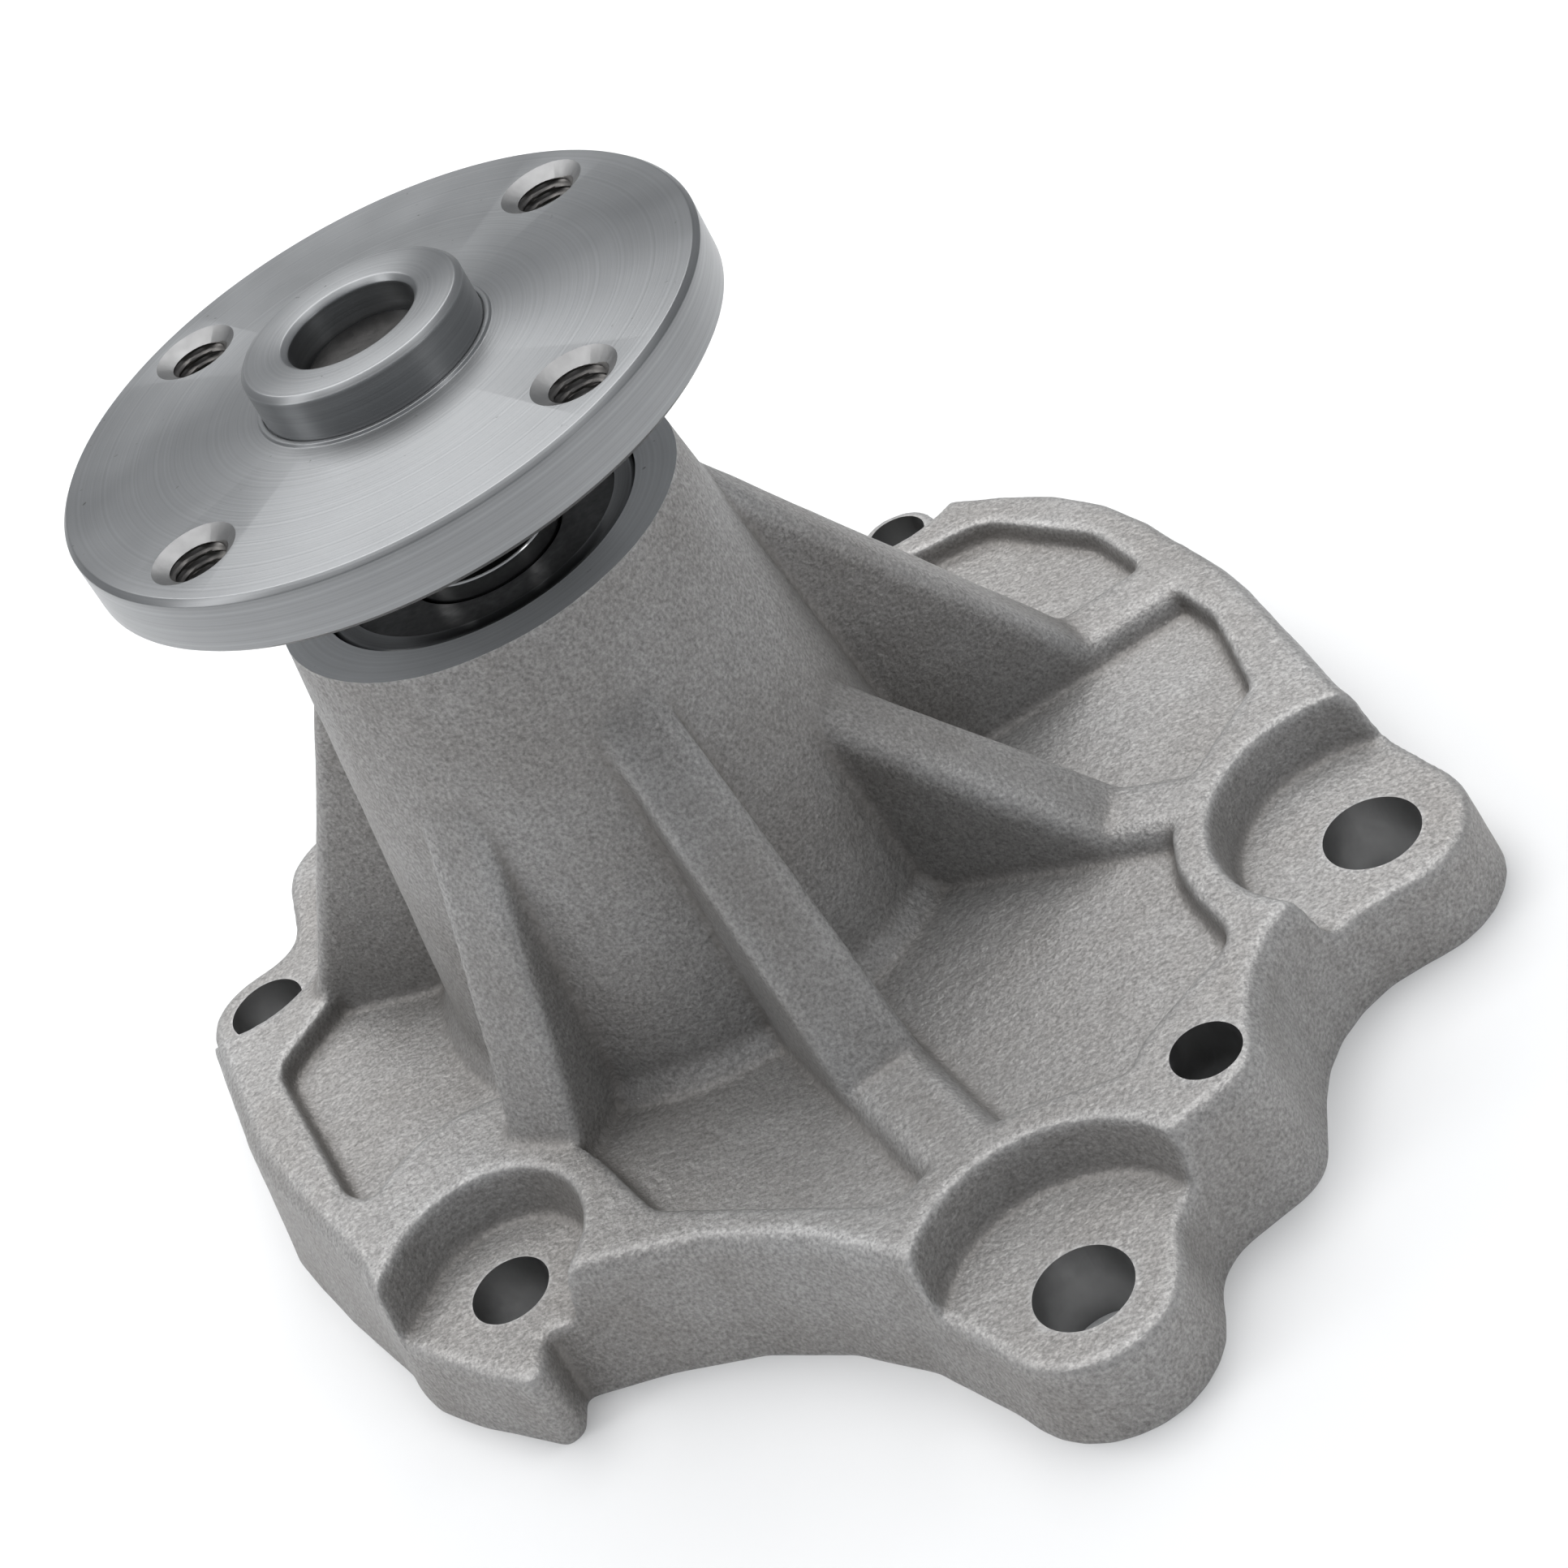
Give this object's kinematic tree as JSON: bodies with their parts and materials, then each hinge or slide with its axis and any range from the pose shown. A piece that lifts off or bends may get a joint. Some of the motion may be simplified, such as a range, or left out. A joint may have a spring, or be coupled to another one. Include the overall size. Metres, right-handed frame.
{
  "type": "water pump",
  "caption": "Engine water pump: cast ribbed housing with bolt lugs, flanged drive hub on an integral-shaft ball bearing, mechanical seal and impeller.",
  "frame": {"origin": "centre of the base's bounding box, on the mounting face", "axes": "+Z along the shaft towards the drive hub, -Y towards the viewer, +X to the viewer's right"},
  "size_m": [0.1794, 0.1772, 0.1115],
  "materials": {
    "cast_aluminium": "shot-blasted casting, matt, fine grain",
    "turned_steel": "turned, concentric tool marks, bright",
    "bearing_steel": "ground, darkened by heat treatment",
    "polished_steel": "polished",
    "black_rubber": "moulded, satin",
    "cage_polymer": "moulded glass-filled polymer",
    "spring_steel": "drawn wire",
    "brass": "pressed sheet, satin",
    "carbon": "lapped carbon graphite",
    "ceramic": "lapped ceramic",
    "cast_iron": "sand cast, lightly machined"
  },
  "bodies": {
    "housing": {"housing": "cast_aluminium", "bearing_outer_ring": "bearing_steel", "bearing_seal_front": "black_rubber", "bearing_seal_rear": "black_rubber", "seal_case": "brass", "seal_bellows": "black_rubber", "seal_spring": "spring_steel", "seal_carbon_ring": "carbon"},
    "rotor": {"shaft": "polished_steel", "hub_flange": "turned_steel", "slinger": "black_rubber", "impeller": "cast_iron", "seal_seat_ring": "ceramic", "seal_seat_cup": "black_rubber"},
    "front_ball_row": {"cage_front": "cage_polymer", "ball_front_1": "polished_steel", "ball_front_2": "polished_steel", "ball_front_3": "polished_steel", "ball_front_4": "polished_steel", "ball_front_5": "polished_steel", "ball_front_6": "polished_steel", "ball_front_7": "polished_steel", "ball_front_8": "polished_steel"},
    "rear_ball_row": {"cage_rear": "cage_polymer", "ball_rear_1": "polished_steel", "ball_rear_2": "polished_steel", "ball_rear_3": "polished_steel", "ball_rear_4": "polished_steel", "ball_rear_5": "polished_steel", "ball_rear_6": "polished_steel", "ball_rear_7": "polished_steel", "ball_rear_8": "polished_steel"}
  },
  "joints": [
    {"name": "rotor_spin", "type": "hinge", "parent": "housing", "child": "rotor", "pos_m": [-0.01114, 0.01014, 0.06], "axis": [0, 0, 1], "continuous": true},
    {"name": "front_row_spin", "type": "hinge", "parent": "housing", "child": "front_ball_row", "pos_m": [-0.01114, 0.01014, 0.0665], "axis": [0, 0, 1], "continuous": true},
    {"name": "rear_row_spin", "type": "hinge", "parent": "housing", "child": "rear_ball_row", "pos_m": [-0.01114, 0.01014, 0.0425], "axis": [0, 0, 1], "continuous": true}
  ],
  "couplings": [
    {"joint": "front_row_spin", "follows": "rotor_spin", "ratio": 0.33},
    {"joint": "rear_row_spin", "follows": "rotor_spin", "ratio": 0.33}
  ]
}
